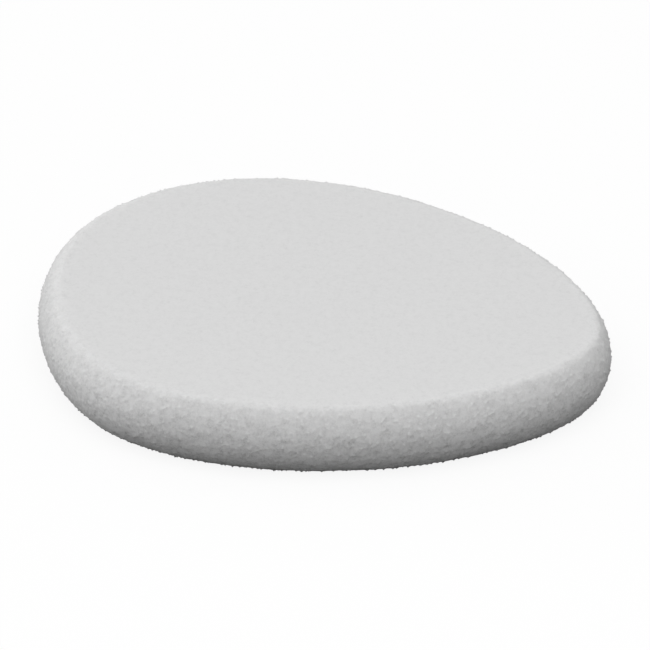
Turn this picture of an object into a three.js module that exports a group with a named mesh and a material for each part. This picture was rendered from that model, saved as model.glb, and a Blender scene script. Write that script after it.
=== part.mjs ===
// Oval makeup sponge: one flat pad of fine-celled foam, cut from a slab.
// Its outline is egg-shaped, blunt at one end and narrow at the other. Its two faces are flat, and the
// rim between them is ground to a round bulge that runs into each face over a small rounding.
// Millimetres, +Z up. The pad lies on its lower face, with the origin under the middle of its length
// and width, and +X points to the narrow end.

import * as THREE from "three";

// Driving dimensions of the pad
const padLength = 78; // from the blunt end to the narrow end
const padWidth = 60; // across the widest place
const padThickness = 10; // between the two flat faces
const bluntEndRadius = 33; // of the outline at the blunt end
const narrowEndRadius = 8.5; // of the outline at the narrow end
const rimBulge = 3; // how far the rim swells out beyond the edges of the flat faces
const creaseRadius = 1.2; // of the rounding where the rim runs into a flat face

// Facets round the outline, and over the rim from one face to the other
const outlineSteps = 96;
const rimSteps = 18;

// The foam's finish
const foamColour = 0xd9d9d9;
const foamRoughness = 0.95;

// The egg-shaped outline, followed by the bearing that the rim faces. The reach is how far from the
// origin the tangent line there lies, and the slide is how far along that line the outline touches it.
// The reach is a sum of waves, which give the length, the width and both end radii exactly.
class EggOutline extends THREE.Curve {
  constructor(length, width, bluntRadius, narrowRadius) {
    super();
    this.stretch = (length - width) / 4;
    this.taper = (bluntRadius - narrowRadius) / 16;
    this.fullness = (width - length / 2 - (bluntRadius + narrowRadius) / 2) / 16;
    this.mean = (length + width) / 4 - this.fullness;
  }

  getFacing(t, target = new THREE.Vector3()) {
    const bearing = 2 * Math.PI * t;
    return target.set(Math.cos(bearing), Math.sin(bearing), 0);
  }

  getPoint(t, target = new THREE.Vector3()) {
    const bearing = 2 * Math.PI * t;
    const reach =
      this.mean +
      this.stretch * Math.cos(2 * bearing) +
      this.taper * (Math.cos(3 * bearing) - Math.cos(bearing)) +
      this.fullness * Math.cos(4 * bearing);
    const slide =
      -2 * this.stretch * Math.sin(2 * bearing) -
      this.taper * (3 * Math.sin(3 * bearing) - Math.sin(bearing)) -
      4 * this.fullness * Math.sin(4 * bearing);
    const facing = this.getFacing(t);
    return target.set(reach * facing.x - slide * facing.y, reach * facing.y + slide * facing.x, 0);
  }
}

// The rim's section is three arcs that run smoothly into each other and into both faces: the rounding at
// the lower face, the wide bulge and the rounding at the upper face.
const halfThickness = padThickness / 2;
const creaseHeight = halfThickness - creaseRadius;
const bulgeRadius =
  (creaseHeight ** 2 + rimBulge ** 2 - creaseRadius ** 2) / (2 * (rimBulge - creaseRadius));
const bulgeTurn = Math.asin(creaseHeight / (bulgeRadius - creaseRadius));

// One ring of points round the pad. The turn is how far above level the rim faces there: from minus a
// quarter turn, at the edge of the lower face, to a quarter turn, at the edge of the upper face.
function rimRing(outline, turn) {
  const onBulge = Math.abs(turn) <= bulgeTurn;
  const radius = onBulge ? bulgeRadius : creaseRadius;
  const inward = (onBulge ? bulgeRadius : rimBulge) - radius * Math.cos(turn);
  const middle = onBulge ? 0 : creaseHeight * Math.sign(turn);
  const height = halfThickness + middle + radius * Math.sin(turn);
  const ring = [];
  for (let step = 0; step < outlineSteps; step += 1) {
    const t = step / outlineSteps;
    ring.push(outline.getPoint(t).addScaledVector(outline.getFacing(t), -inward).setZ(height));
  }
  return ring;
}

// The closed skin of the pad: rings over the rim, and a fan of triangles on each flat face.
function padGeometry() {
  const outline = new EggOutline(padLength, padWidth, bluntEndRadius, narrowEndRadius);
  const points = [];
  for (let rimStep = 0; rimStep <= rimSteps; rimStep += 1) {
    points.push(...rimRing(outline, Math.PI * (rimStep / rimSteps - 0.5)));
  }
  const upperRing = rimSteps * outlineSteps;
  const lowerMiddle = points.length;
  const upperMiddle = points.length + 1;
  points.push(new THREE.Vector3(0, 0, 0), new THREE.Vector3(0, 0, padThickness));

  const triangles = [];
  for (let step = 0; step < outlineSteps; step += 1) {
    const next = (step + 1) % outlineSteps;
    for (let ring = 0; ring < upperRing; ring += outlineSteps) {
      const above = ring + outlineSteps;
      triangles.push(ring + step, ring + next, above + next);
      triangles.push(ring + step, above + next, above + step);
    }
    triangles.push(lowerMiddle, next, step);
    triangles.push(upperMiddle, upperRing + step, upperRing + next);
  }

  const geometry = new THREE.BufferGeometry().setFromPoints(points);
  geometry.setIndex(triangles);
  geometry.computeVertexNormals();
  return geometry;
}

function makeFoamPad() {
  const foam = new THREE.MeshStandardMaterial({
    color: foamColour,
    roughness: foamRoughness,
    metalness: 0,
  });
  const pad = new THREE.Mesh(padGeometry(), foam);
  pad.name = "foam_pad";
  return pad;
}

const sponge = new THREE.Group();
sponge.name = "oval_makeup_sponge";
sponge.add(makeFoamPad());

export default sponge;
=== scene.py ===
# %% [markdown]
# # An oval makeup sponge
# The sponge is one flat pad of fine, pale foam. It is cut from a slab to an egg-shaped outline, so its
# two faces are flat and smooth, and then its rim is ground round, which leaves it rough.
# The measured solid of the pad is the frame that everything here is built around. Starting from it
# keeps the sizes true, and this script only adds what a solid cannot show: the surface of the foam.

# %% Load the measured pad
import math

import bpy
import numpy as np
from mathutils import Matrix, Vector
from mathutils.geometry import delaunay_2d_cdt


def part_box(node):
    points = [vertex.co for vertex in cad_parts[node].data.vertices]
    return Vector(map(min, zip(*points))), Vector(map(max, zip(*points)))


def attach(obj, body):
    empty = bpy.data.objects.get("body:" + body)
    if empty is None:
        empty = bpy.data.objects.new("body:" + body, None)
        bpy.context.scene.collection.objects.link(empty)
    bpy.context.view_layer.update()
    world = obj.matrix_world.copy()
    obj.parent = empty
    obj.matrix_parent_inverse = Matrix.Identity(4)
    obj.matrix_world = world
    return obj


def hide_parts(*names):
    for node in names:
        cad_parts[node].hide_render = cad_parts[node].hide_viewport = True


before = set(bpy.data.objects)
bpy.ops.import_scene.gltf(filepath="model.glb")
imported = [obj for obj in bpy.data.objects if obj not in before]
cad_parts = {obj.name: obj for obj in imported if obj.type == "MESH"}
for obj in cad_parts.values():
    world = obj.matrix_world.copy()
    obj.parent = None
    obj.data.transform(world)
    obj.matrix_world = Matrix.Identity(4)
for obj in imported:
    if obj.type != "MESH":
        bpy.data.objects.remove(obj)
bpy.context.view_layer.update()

MM = 0.001
pad_low, pad_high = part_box("foam_pad")
pad_length, pad_width, pad_thickness = pad_high - pad_low
print(f"pad: {pad_length / MM:.1f} x {pad_width / MM:.1f} x {pad_thickness / MM:.1f} mm")

# %% [markdown]
# ## The view
# A long lens from well back keeps the near and the far edge of a small thing alike in size, as product
# pictures do. The camera looks down on the pad at an angle, a little from the side of its narrow end.

# %% Place the camera
VIEW_BEARING = math.radians(15.2)
VIEW_HEIGHT = math.radians(33.8)
VIEW_DISTANCE = 600 * MM
LENS_MM = 248.5
SENSOR_MM = 36
AIM_RIGHT = 0.02 * MM
AIM_UP = 0.17 * MM

pad_middle = (pad_low + pad_high) / 2
upwards = Vector((0, 0, 1))
view_right = Vector((math.cos(VIEW_BEARING), math.sin(VIEW_BEARING), 0))
view_near = view_right.cross(upwards)
view_back = view_near * math.cos(VIEW_HEIGHT) + upwards * math.sin(VIEW_HEIGHT)
view_up = view_back.cross(view_right)
aim = pad_middle + view_right * AIM_RIGHT + view_up * AIM_UP

camera = bpy.data.objects.new("camera", bpy.data.cameras.new("camera"))
camera.data.lens = LENS_MM
camera.data.sensor_width = SENSOR_MM
camera.location = aim + view_back * VIEW_DISTANCE
camera.rotation_euler = view_back.to_track_quat("Z", "Y").to_euler()
bpy.context.scene.collection.objects.link(camera)
bpy.context.scene.camera = camera
print("camera at", [round(x / MM) for x in camera.location], "mm")

# %% [markdown]
# ## The outline
# An egg could be drawn with arcs or with a hand-placed curve. Here it follows one formula: for each
# bearing that the rim faces, it says how far out the tangent line lies. Few waves are needed, each
# with a meaning, and the same formula gives a smooth slope everywhere.
# A ground sponge is never quite even, so a few more waves, a fraction of a millimetre high, are added.
# Points are then spread evenly along the outline, as many as the finest roughness needs.

# %% Work out the egg-shaped outline
BLUNT_END_RADIUS = 33 * MM
NARROW_END_RADIUS = 8.5 * MM
UNEVEN_COS = {5: -0.18 * MM}
UNEVEN_SIN = {2: -0.05 * MM, 3: 0.13 * MM, 4: -0.25 * MM, 5: 0.09 * MM}

# These shares of the sizes give the length, the width and both end radii exactly, before the
# uneven waves are added.
taper = (BLUNT_END_RADIUS - NARROW_END_RADIUS) / 16
fullness = (pad_width - pad_length / 2 - (BLUNT_END_RADIUS + NARROW_END_RADIUS) / 2) / 16
stretch = (pad_length - pad_width) / 4
mean_reach = (pad_length + pad_width) / 4 - fullness
cos_waves = {0: mean_reach, 1: -taper, 2: stretch, 3: taper, 4: fullness} | UNEVEN_COS


def facing(bearing):
    """The way that the rim faces, as unit vectors in the plan."""
    return np.stack([np.cos(bearing), np.sin(bearing)], axis=-1)


def outline(bearing):
    """Points of the outline where the rim faces these bearings."""
    reach = np.zeros_like(bearing)
    slide = np.zeros_like(bearing)
    for n, size in cos_waves.items():
        reach += size * np.cos(n * bearing)
        slide -= size * n * np.sin(n * bearing)
    for n, size in UNEVEN_SIN.items():
        reach += size * np.sin(n * bearing)
        slide += size * n * np.cos(n * bearing)
    return reach[:, None] * facing(bearing) + slide[:, None] * facing(bearing + math.pi / 2)


print(f"egg: stretch {stretch / MM:.2f}, taper {taper / MM:.2f}, fullness {fullness / MM:.2f} mm")

# %% Spread points evenly along the outline
RIM_STEP = 0.174 * MM
FACE_SKIPS = (2, 4, 8)
FINE_STEPS = 4000


def path_length(points):
    """How far along a path each of its points lies."""
    steps = np.linalg.norm(np.diff(points, axis=0), axis=1)
    return np.concatenate([[0], np.cumsum(steps)])


fine_bearings = np.linspace(0, 2 * math.pi, FINE_STEPS + 1)
travelled = path_length(outline(fine_bearings))
girth = travelled[-1]
around_count = FACE_SKIPS[-1] * round(girth / RIM_STEP / FACE_SKIPS[-1])
even_places = np.linspace(0, girth, around_count, endpoint=False)
around = np.interp(even_places, travelled, fine_bearings)
print(f"outline: {girth / MM:.1f} mm round, {around_count} points")

# %% [markdown]
# ## The rim
# The rim's section is an arc of a circle that bulges out between the two faces, with a small rounding
# where it runs into each of them. Grinding is uneven: the blunt end bulges more than the sides, with a
# softer rounding, and the narrow end bulges less. A bevel on a plate would be the same all round, so
# the section is worked out for each bearing instead.
# A grid of rings, evenly spaced along the section, puts the points where the roughness will need them.

# %% Work out how the rim bulges
SIDE_BULGE = 3.0 * MM
SIDE_CREASE_RADIUS = 1.2 * MM
BLUNT_BULGE = 3.4 * MM
BLUNT_CREASE_RADIUS = 2.2 * MM
BLUNT_MIDDLE = math.radians(205)
BLUNT_SHARPNESS = 2
NARROW_BULGE = 2.4 * MM
NARROW_MIDDLE = math.radians(15)
NARROW_SHARPNESS = 4


def nearness(middle, sharpness):
    """1 where the rim faces the middle bearing, falling to 0 on the far side, faster if sharper."""
    return (0.5 + 0.5 * np.cos(around - middle)) ** sharpness


bluntness = nearness(BLUNT_MIDDLE, BLUNT_SHARPNESS)
narrowness = nearness(NARROW_MIDDLE, NARROW_SHARPNESS)
crease_radius = SIDE_CREASE_RADIUS + (BLUNT_CREASE_RADIUS - SIDE_CREASE_RADIUS) * bluntness
more_at_blunt_end = (BLUNT_BULGE - SIDE_BULGE) * bluntness
more_at_narrow_end = (NARROW_BULGE - SIDE_BULGE) * narrowness
rim_bulge = SIDE_BULGE + more_at_blunt_end + more_at_narrow_end
print(f"rim: bulges {rim_bulge.min() / MM:.1f} to {rim_bulge.max() / MM:.1f} mm")

# %% Sweep the rim's section round the outline
half_thickness = pad_thickness / 2
crease_height = half_thickness - crease_radius
# The bulge's arc touches the outline and runs smoothly into both roundings, which sets its radius.
bulge_radius = (crease_height**2 + rim_bulge**2 - crease_radius**2) / (2 * (rim_bulge - crease_radius))
crease_turn = np.arcsin(crease_height / (bulge_radius - crease_radius))
bulge_climb = bulge_radius * crease_turn
half_climb = bulge_climb + crease_radius * (math.pi / 2 - crease_turn)


def section(share):
    """The rim's inset and height all round, this share of the way up from its middle."""
    bulge_turn = np.clip(share * half_climb / bulge_radius, -crease_turn, crease_turn)
    past_bulge = np.maximum(abs(share) * half_climb - bulge_climb, 0)
    turn = bulge_turn + np.sign(share) * past_bulge / crease_radius
    radius = np.where(past_bulge > 0, crease_radius, bulge_radius)
    centre_inset = np.where(past_bulge > 0, rim_bulge, bulge_radius)
    centre_height = np.where(past_bulge > 0, crease_height * np.sign(share), 0)
    inset = centre_inset - radius * np.cos(turn)
    height = half_thickness + centre_height + radius * np.sin(turn)
    return inset, height


rim_height = 2 * half_climb.mean()
ring_count = round(rim_height / RIM_STEP)
ring_shares = np.linspace(-1, 1, ring_count + 1)
rim_rings = []
for share in ring_shares:
    inset, height = section(share)
    plan = outline(around) - inset[:, None] * facing(around)
    rim_rings.append(np.column_stack([plan, height]))
rim_points = np.concatenate(rim_rings)
print(f"rim: {rim_height / MM:.1f} mm from face to face, {len(rim_rings)} rings")

# %% [markdown]
# ## The faces
# A fan of long triangles could close each face, but long slivers shade badly. The faces are flat, so
# they need few points: a few rings, each with half as many points as the one outside it, lead from the
# fine rim to a wide honeycomb. A Delaunay triangulation joins them, and both faces share it.

# %% Fill the faces with a net of triangles
RING_GAP = 0.75  # as a share of the spacing of the ring's points
HONEYCOMB_GAP = 0.6  # as a share of the honeycomb's spacing
INSIDE_ONLY = 1  # Blender's number for keeping only the triangles inside the edge
MERGE_DISTANCE = 1e-9

edge_ring = rim_rings[-1][:, :2]
face_points = [edge_ring]
face_inset = 0
for skip in FACE_SKIPS:
    spacing = skip * RIM_STEP
    face_inset += RING_GAP * spacing
    face_points.append((edge_ring - face_inset * facing(around))[::skip])

rows = np.arange(pad_low.y, pad_high.y, spacing * math.sqrt(3) / 2)
columns = np.arange(pad_low.x, pad_high.x, spacing)
honeycomb = np.stack(np.meshgrid(columns, rows), axis=-1)
honeycomb[1::2, :, 0] += spacing / 2
honeycomb = honeycomb.reshape(-1, 2)
edge_reach = (edge_ring * facing(around)).sum(axis=1)


def room(points):
    """How far inside the crease points of a face lie."""
    return np.min(edge_reach - points @ facing(around).T, axis=1)


face_points.append(honeycomb[room(honeycomb) > face_inset + HONEYCOMB_GAP * spacing])
face_points = np.concatenate(face_points)
inner_points = face_points[around_count:]

corners = [Vector(point) for point in face_points]
edge_loop = [(i, (i + 1) % around_count) for i in range(around_count)]
net = delaunay_2d_cdt(corners, edge_loop, [], INSIDE_ONLY, MERGE_DISTANCE)
made_faces, came_from = net[2], net[3]
triangles = np.array([[came_from[i][0] for i in face] for face in made_faces])
print(f"face: {len(inner_points)} inner points, {len(triangles)} triangles")

# %% [markdown]
# ## One closed skin
# The real pad is one piece, without a seam. Three meshes could lie edge to edge, but then the shading
# would break at the creases, and light that goes into the foam needs a closed skin to wander in.
# So the rings and the two faces share the points along their edges.

# %% Join the rim and the faces into one mesh
inner_count = len(inner_points)
upper_points = np.column_stack([inner_points, np.full(inner_count, pad_high.z)])
lower_points = np.column_stack([inner_points, np.full(inner_count, pad_low.z)])
skin_points = np.concatenate([rim_points, upper_points, lower_points])

quad_rings, quad_steps = np.divmod(np.arange(ring_count * around_count), around_count)
corner_rings = quad_rings[:, None] + [0, 0, 1, 1]
corner_steps = quad_steps[:, None] + [0, 1, 1, 0]
rim_faces = corner_rings * around_count + corner_steps % around_count

on_edge = triangles < around_count
upper_faces = triangles + ring_count * around_count
lower_faces = np.where(on_edge, triangles, upper_faces + inner_count)[:, ::-1]

skin = bpy.data.meshes.new("foam_pad_skin")
skin.from_pydata(skin_points, [], rim_faces.tolist() + upper_faces.tolist() + lower_faces.tolist())
skin.shade_smooth()
pad = bpy.data.objects.new("foam_pad_skin", skin)
bpy.context.scene.collection.objects.link(pad)
triangle_count = 2 * len(rim_faces) + 2 * len(triangles)
print(f"skin: {len(skin.vertices)} points, {triangle_count} triangles")

# %% [markdown]
# ## What the skin carries
# Three things are stored on the skin. Two say how far each point belongs to the ground rim: the torn
# shape, and the painted shade of the rim, begin right at the creases, but the grain in the colour
# begins faintly on the upper face and grows nearly all the way down the rim. Both could be painted by
# hand, but worked out from the distance to the creases they follow when a size changes. The third is a
# flat layout, for anyone who wants to paint the skin: the two faces lie side by side, and the rim lies
# below them as a strip cut into two rows.

# %% Store how far each point belongs to the ground rim
UPPER_FADES = {"torn": (0, 0.4 * MM), "grain": (-1.5 * MM, 12.0 * MM)}
LOWER_FADES = {"torn": (-0.3 * MM, 0.2 * MM), "grain": (-1.0 * MM, 1.0 * MM)}

face_depth = -room(inner_points)
far_off = np.full(inner_count, rim_height)
down_rim = np.concatenate([(1 - share) * half_climb for share in ring_shares])
up_rim = np.concatenate([(1 + share) * half_climb for share in ring_shares])
below_upper_crease = np.concatenate([down_rim, face_depth, far_off])
above_lower_crease = np.concatenate([up_rim, far_off, face_depth])
for name in UPPER_FADES:
    from_upper = np.interp(below_upper_crease, UPPER_FADES[name], (0, 1))
    from_lower = np.interp(above_lower_crease, LOWER_FADES[name], (0, 1))
    shares = np.minimum(from_upper, from_lower)
    stored = skin.attributes.new(name, "FLOAT", "POINT")
    stored.data.foreach_set("value", shares.astype(np.float32))
    print(f"{name}: above one half at {np.mean(shares > 0.5):.0%} of the points")

# %% Lay the skin out flat
LAYOUT_SIDE = 116 * MM
LAYOUT_GAP = 1.5 * MM

row_steps = around_count // 2
row = quad_steps[:, None] // row_steps
strip_across = LAYOUT_GAP + (corner_steps - row * row_steps) * girth / around_count
strip_up = LAYOUT_GAP + row * (rim_height + LAYOUT_GAP) + corner_rings * rim_height / ring_count
strip = np.stack([strip_across, strip_up], axis=-1)

face_corner = edge_ring.min(axis=0)
face_across = np.ptp(edge_ring[:, 1])
face_base = 2 * rim_height + 3 * LAYOUT_GAP
turned = (face_points - face_corner)[:, ::-1]
upper_layout = turned + [LAYOUT_GAP, face_base]
lower_layout = turned + [face_across + 2 * LAYOUT_GAP, face_base]

layout = np.concatenate([
    strip.reshape(-1, 2),
    upper_layout[triangles].reshape(-1, 2),
    lower_layout[triangles[:, ::-1]].reshape(-1, 2),
])
flat_map = skin.uv_layers.new(name="OFBake")
flat_map.uv.foreach_set("vector", (layout / LAYOUT_SIDE).astype(np.float32).ravel())
print("layout fills", [round(x / LAYOUT_SIDE, 3) for x in layout.max(axis=0)], "of its square")

# %% [markdown]
# ## Sums with nodes
# Both the roughness and the finish are sums of noises. Written as nodes and links they are hard to
# read, so one small class lets a socket be used in a sum as a number is, and adds the nodes itself.

# %% Let sockets be used in sums
class Wire:
    """One output of a node. Sums with it add Math nodes, and give the output of the last one."""

    def __init__(self, output):
        self.output = output

    @staticmethod
    def node(tree, kind, settings=None, sockets=None, output=0):
        """Adds a node: first its settings, then the values or links of its sockets."""
        made = tree.nodes.new(kind)
        for name, value in (settings or {}).items():
            setattr(made, name, value)
        for name, value in (sockets or {}).items():
            if isinstance(value, Wire):
                tree.links.new(value.output, made.inputs[name])
            else:
                made.inputs[name].default_value = value
        return Wire(made.outputs[output]) if made.outputs else None

    def math(self, operation, first, second):
        """Adds one Math node to the tree that this output is in."""
        tree = self.output.id_data
        return Wire.node(tree, "ShaderNodeMath", {"operation": operation}, {0: first, 1: second})

    def __add__(self, other):
        return self.math("ADD", self, other)

    __radd__ = __add__

    def __sub__(self, other):
        return self.math("SUBTRACT", self, other)

    def __rsub__(self, other):
        return self.math("SUBTRACT", other, self)

    def __mul__(self, other):
        return self.math("MULTIPLY", self, other)

    __rmul__ = __mul__

    def at_least(self, floor):
        return self.math("MAXIMUM", self, floor)


print("sockets can now be added, subtracted, multiplied and limited")


# %% Make the two patterns that are summed
def noise(tree, place, size, detail, roughness=0.5):
    """Cloudy noise about 0, mostly between -0.25 and 0.25, whose lumps are about size across."""
    sockets = {"Vector": place, "Scale": 1 / size, "Detail": detail, "Roughness": roughness}
    return Wire.node(tree, "ShaderNodeTexNoise", {}, sockets, "Fac") - 0.5


def tufts(tree, place, spacing, reach):
    """Small pointed mounds, up to 1 high and of many sizes, about spacing apart, on a level of 0.
    The reach is how far a mound spreads from its point, as a share of the spacing."""
    sockets = {"Vector": place, "Scale": 1 / spacing}
    distance = Wire.node(tree, "ShaderNodeTexVoronoi", {}, sockets, "Distance")
    mound = (1 - distance * (1 / reach)).at_least(0)
    return mound * mound


print("patterns: cloudy noise and pointed tufts")

# %% [markdown]
# ## The roughness
# Grinding tears the cells of the foam, so the rim is a soft rubble of low lumps with fine tufts of torn
# cells on them, while the sliced faces stay smooth. A bump in the finish would leave the outline clean,
# but on real foam the tufts show there as small dots. So they are real shape: each point of the rim
# moves along its normal by a sum of noises of several sizes and of tufts.
# The table presses the lower face flat, so no point ends up below it.

# %% Write the roughness as nodes
RIM_LUMPS = {6.0 * MM: 0.20 * MM, 2.0 * MM: 0.12 * MM, 0.8 * MM: 0.10 * MM}
TUFT_SPACING = 0.55 * MM
TUFT_REACH = 0.5
TUFT_HEIGHT = 0.28 * MM
NO_LIMIT = -1.0  # a metre out, past every point of the pad

rough = bpy.data.node_groups.new("rough_foam", "GeometryNodeTree")
rough.interface.new_socket("Geometry", in_out="INPUT", socket_type="NodeSocketGeometry")
rough.interface.new_socket("Geometry", in_out="OUTPUT", socket_type="NodeSocketGeometry")
smooth_skin = Wire.node(rough, "NodeGroupInput")
place = Wire.node(rough, "GeometryNodeInputPosition")
normal = Wire.node(rough, "GeometryNodeInputNormal")
stored_as = {"data_type": "FLOAT"}
torn_share = Wire.node(rough, "GeometryNodeInputNamedAttribute", stored_as, {"Name": "torn"})

lumps = sum(noise(rough, place, size, detail=1) * height for size, height in RIM_LUMPS.items())
rise = torn_share * (lumps + tufts(rough, place, TUFT_SPACING, TUFT_REACH) * TUFT_HEIGHT)
along_normal = {"Vector": normal, "Scale": rise}
offset = Wire.node(rough, "ShaderNodeVectorMath", {"operation": "SCALE"}, along_normal)
moved = Wire.node(rough, "ShaderNodeVectorMath", {"operation": "ADD"}, {0: place, 1: offset})
table_top = {0: moved, 1: (NO_LIMIT, NO_LIMIT, pad_low.z)}
above_table = Wire.node(rough, "ShaderNodeVectorMath", {"operation": "MAXIMUM"}, table_top)
new_places = {"Geometry": smooth_skin, "Position": above_table}
rough_skin = Wire.node(rough, "GeometryNodeSetPosition", {}, new_places)
Wire.node(rough, "NodeGroupOutput", {}, {"Geometry": rough_skin})
print("roughness:", len(rough.nodes), "nodes")

# %% Roughen the skin
modifier = pad.modifiers.new("rough_foam", "NODES")
modifier.node_group = rough
shaped = pad.evaluated_get(bpy.context.evaluated_depsgraph_get())
pad.data = bpy.data.meshes.new_from_object(shaped)
pad.modifiers.clear()
pad.data.name = "foam_pad_skin"
moves = np.array([point.co for point in pad.data.vertices]) - skin_points
print(f"rough skin: points moved by up to {np.linalg.norm(moves, axis=1).max() / MM:.2f} mm")

# %% [markdown]
# ## The finish
# Foam is matt all over: light goes in between the cells, wanders, and comes out again a little way off.
# A plain matt grey would look like plaster, so the finish is a pale grey that scatters light under its
# surface, with hardly any shine. The ground rim is painted a little darker than the faces, as painted
# shade for the light that its open cells hold back. A fine grain, too small to be worth modelling as
# shape, speckles the rim and faintly stipples the faces. Its dark specks are deeper than its light
# ones: painted pore shade, which also darkens the rim a little on the whole.

# %% Mix the foam's finish
FOAM_GREY = 0.70
FOAM_ROUGHNESS = 0.95
FOAM_SHINE = 0.1
SCATTER_REACH = 1.5 * MM
SPECKLE_SIZE = 1.1 * MM
FACE_SPECKLE = 0.18
RIM_SPECKLE = 1.30
# deepens the grain's dark specks: painted pore shade
PORE_SHADE_DEPTH = 2.5
# darkens the ground rim: painted shade of its open cells
RIM_PAINTED_SHADE = 0.025

foam = bpy.data.materials.new("foam")
foam.use_nodes = True
tree = foam.node_tree
tree.nodes.clear()
place = Wire.node(tree, "ShaderNodeNewGeometry", output="Position")
grain_share = Wire.node(tree, "ShaderNodeAttribute", {"attribute_name": "grain"}, output="Fac")
torn_share = Wire.node(tree, "ShaderNodeAttribute", {"attribute_name": "torn"}, output="Fac")
speckle = noise(tree, place, SPECKLE_SIZE, detail=3, roughness=1.0)
# the grain is tone that differs at random; its dark specks are deepened as painted pore shade
grain_and_pore_shade = speckle * (1 - PORE_SHADE_DEPTH * speckle)
grain_strength = FACE_SPECKLE + (RIM_SPECKLE - FACE_SPECKLE) * grain_share
# the grey, darkened on the ground rim by painted shade, with the grain and its painted pore shade
tone = FOAM_GREY * (1 - RIM_PAINTED_SHADE * torn_share) * (1 + grain_and_pore_shade * grain_strength)
greys = {"Red": tone, "Green": tone, "Blue": tone}
colour = Wire.node(tree, "ShaderNodeCombineColor", {"mode": "RGB"}, greys)
foam_sockets = {
    "Base Color": colour,
    "Roughness": FOAM_ROUGHNESS,
    "Specular IOR Level": FOAM_SHINE,
    "Subsurface Weight": 1.0,
    "Subsurface Radius": (1, 1, 1),
    "Subsurface Scale": SCATTER_REACH,
}
surface = Wire.node(tree, "ShaderNodeBsdfPrincipled", {}, foam_sockets)
Wire.node(tree, "ShaderNodeOutputMaterial", {}, {"Surface": surface})
pad.data.materials.append(foam)
print("finish:", len(tree.nodes), "nodes")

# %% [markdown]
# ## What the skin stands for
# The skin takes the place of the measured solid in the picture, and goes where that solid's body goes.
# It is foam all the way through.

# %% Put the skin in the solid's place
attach(pad, "root")
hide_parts("foam_pad")
print("skin rides on the root body")

# %% [markdown]
# ## The table
# The table is plain. To the camera it is nearly white, and it keeps the pad's soft shadow. Farther off
# it goes over to pure white, so that no horizon shows from low down. A table that is white to the pad
# too would light the rim from below and wash out its underside. So to the pad it is dark, and little
# light comes up from it.

# %% Lay the table
TABLE_SIDE = 4.0

table_mesh = bpy.data.meshes.new("table")
half_side = TABLE_SIDE / 2
signs = [(-1, -1), (1, -1), (1, 1), (-1, 1)]
table_corners = [(x * half_side, y * half_side, 0) for x, y in signs]
table_mesh.from_pydata(table_corners, [], [(0, 1, 2, 3)])
table = bpy.data.objects.new("table", table_mesh)
bpy.context.scene.collection.objects.link(table)
print(f"table: {TABLE_SIDE} m square")

# %% Mix the table's finish
TABLE_GREY = 0.06
SHADOW_SHARE = 0.12
SHADOW_FADE = (0.08, 0.25)
WHITE = (1, 1, 1, 1)


def seen_directly(tree):
    """1 for a ray that shows the background itself, straight, in a mirror or through glass."""
    kinds = ("Camera", "Glossy", "Transmission")
    return sum(Wire.node(tree, "ShaderNodeLightPath", output=f"Is {kind} Ray") for kind in kinds)


table_finish = bpy.data.materials.new("table")
table_finish.use_nodes = True
tree = table_finish.node_tree
tree.nodes.clear()
place = Wire.node(tree, "ShaderNodeNewGeometry", output="Position")
away = Wire.node(tree, "ShaderNodeVectorMath", {"operation": "LENGTH"}, {0: place}, "Value")
fade_range = {"Value": away, "From Min": SHADOW_FADE[0], "From Max": SHADOW_FADE[1]}
fade = Wire.node(tree, "ShaderNodeMapRange", {"interpolation_type": "SMOOTHSTEP"}, fade_range)
dark = Wire.node(tree, "ShaderNodeBsdfDiffuse", {}, {"Color": (TABLE_GREY, TABLE_GREY, TABLE_GREY, 1)})
pale = Wire.node(tree, "ShaderNodeBsdfDiffuse", {}, {"Color": WHITE})
white = Wire.node(tree, "ShaderNodeEmission", {}, {"Color": WHITE, "Strength": 1.0})
white_share = 1 - SHADOW_SHARE * (1 - fade)
shown = Wire.node(tree, "ShaderNodeMixShader", {}, {0: white_share, 1: pale, 2: white})
both = Wire.node(tree, "ShaderNodeMixShader", {}, {0: seen_directly(tree), 1: dark, 2: shown})
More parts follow.
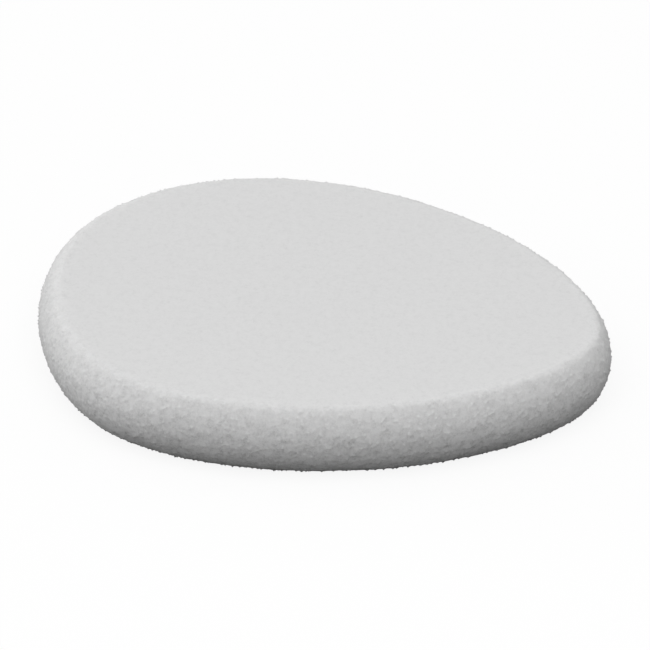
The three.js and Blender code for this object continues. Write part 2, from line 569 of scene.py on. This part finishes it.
Wire.node(tree, "ShaderNodeOutputMaterial", {}, {"Surface": both})
table_mesh.materials.append(table_finish)
print("table finish:", len(tree.nodes), "nodes")

# %% [markdown]
# ## The light
# A small hard lamp would throw a sharp shadow behind every tuft and make the foam look like stone. So
# over half of the light on the flat face comes evenly from all round, as in a white tent. One wide
# light hangs high in front, and a weaker one stands low on the left, to lift the blunt end.
# Together they light the flat face so that its grey renders about as it is written.

# %% Hang the lights
LIGHT_DISTANCE = 0.9


def softbox(name, bearing, height, size, share):
    """A square light, placed by angles in degrees: bearing 0 is right of the view and 90 is behind.
    A small one gives its share of full light to a surface at the pad that faces it, and a wide one
    gives less, because its edges are farther off and shine aslant."""
    bearing, height = math.radians(bearing), math.radians(height)
    level = view_right * math.cos(bearing) - view_near * math.sin(bearing)
    away = level * math.cos(height) + upwards * math.sin(height)
    lamp = bpy.data.lights.new(name, "AREA")
    lamp.size = size
    lamp.energy = share * (math.pi * LIGHT_DISTANCE) ** 2
    holder = bpy.data.objects.new(name, lamp)
    holder.location = pad_middle + away * LIGHT_DISTANCE
    holder.rotation_euler = away.to_track_quat("Z", "Y").to_euler()
    holder.visible_camera = False
    bpy.context.scene.collection.objects.link(holder)


softbox("light_high", bearing=265, height=66, size=1.0, share=0.57)
softbox("light_left", bearing=165, height=4, size=0.3, share=0.30)
print("lights:", [light.name for light in bpy.data.lights])

# %% Light the room evenly
ROOM_LIGHT = 0.555

world = bpy.data.worlds.new("room")
bpy.context.scene.world = world
world.use_nodes = True
tree = world.node_tree
tree.nodes.clear()
dim = Wire.node(tree, "ShaderNodeBackground", {}, {"Color": WHITE, "Strength": ROOM_LIGHT})
bright = Wire.node(tree, "ShaderNodeBackground", {}, {"Color": WHITE, "Strength": 1.0})
walls = Wire.node(tree, "ShaderNodeMixShader", {}, {0: seen_directly(tree), 1: dim, 2: bright})
Wire.node(tree, "ShaderNodeOutputWorld", {}, {"Surface": walls})
bpy.context.scene.view_settings.view_transform = "Standard"
print(f"room: gives {ROOM_LIGHT:.0%} of full light")
